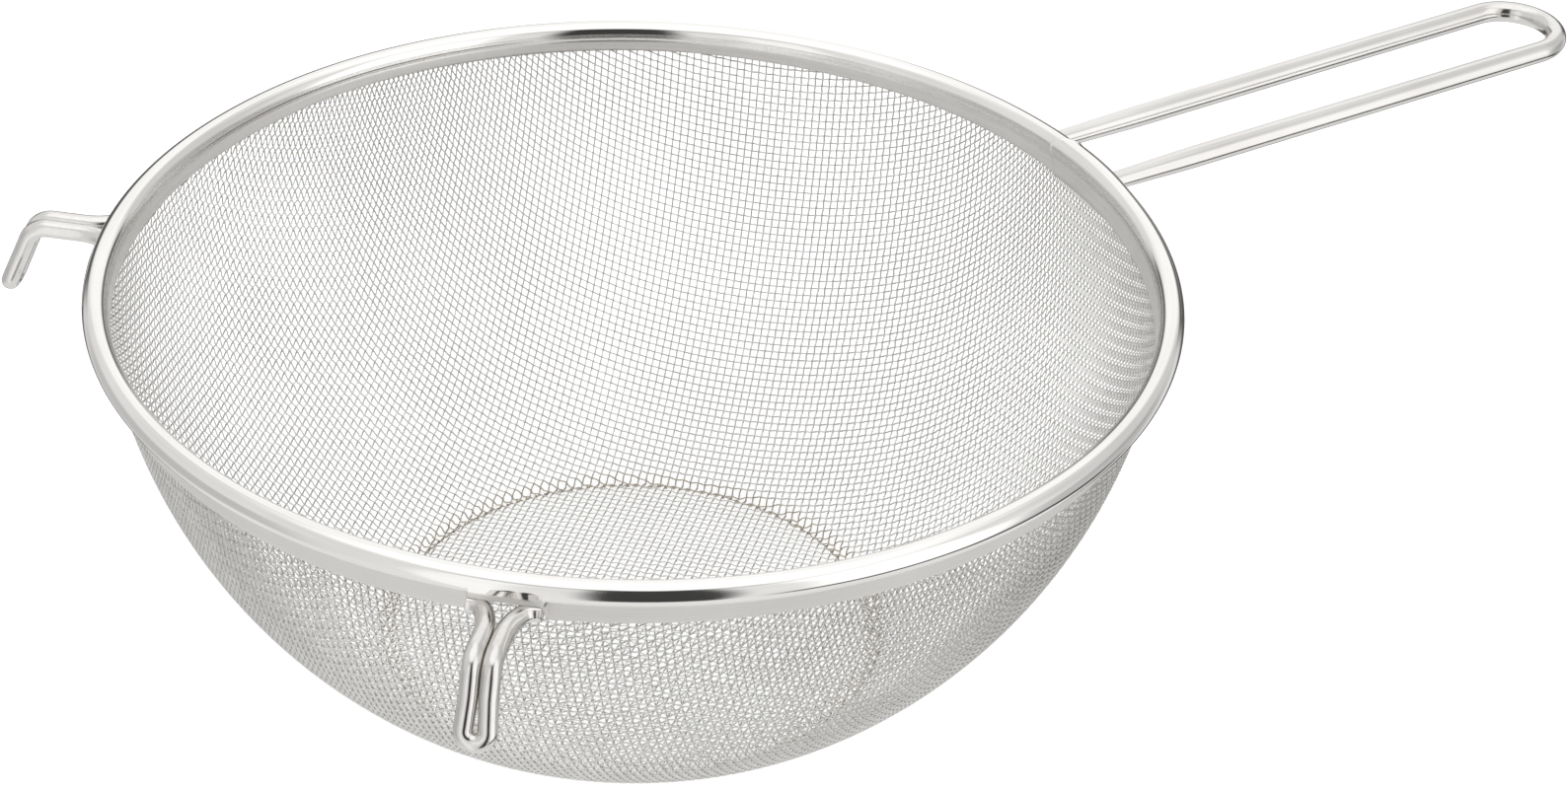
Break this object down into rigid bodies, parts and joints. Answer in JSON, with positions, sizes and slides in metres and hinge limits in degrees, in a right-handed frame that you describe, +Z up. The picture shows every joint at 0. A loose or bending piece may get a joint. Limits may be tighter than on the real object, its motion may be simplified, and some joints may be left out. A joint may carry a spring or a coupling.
{
  "type": "wire mesh bowl strainer",
  "caption": "Round-bottomed bowl strainer of stainless wire cloth with a rolled rim, a long wire loop handle and wire rest hooks opposite it.",
  "frame": {"origin": "on the bowl's axis, in the plane the foot bead rests on", "axes": "+Z up through the open mouth, +X along the handle away from the bowl"},
  "size_m": [0.3409, 0.21, 0.0841],
  "materials": {
    "wire_cloth": "bright drawn stainless wire, plain square weave",
    "rim_sheet": "rolled and polished stainless sheet",
    "ring_core": "drawn steel wire, hidden inside the bead",
    "handle_wire": "electropolished stainless wire",
    "hook_wire": "electropolished stainless wire",
    "weld": "small resistance weld, slightly dull"
  },
  "bodies": {
    "root": {"mesh_bowl": "wire_cloth", "rim_band": "rim_sheet", "ring_wire": "ring_core", "handle_loop": "handle_wire", "handle_welds": "weld", "front_hook": "hook_wire", "front_hook_welds": "weld", "rear_hook": "hook_wire", "rear_hook_welds": "weld"}
  },
  "joints": []
}
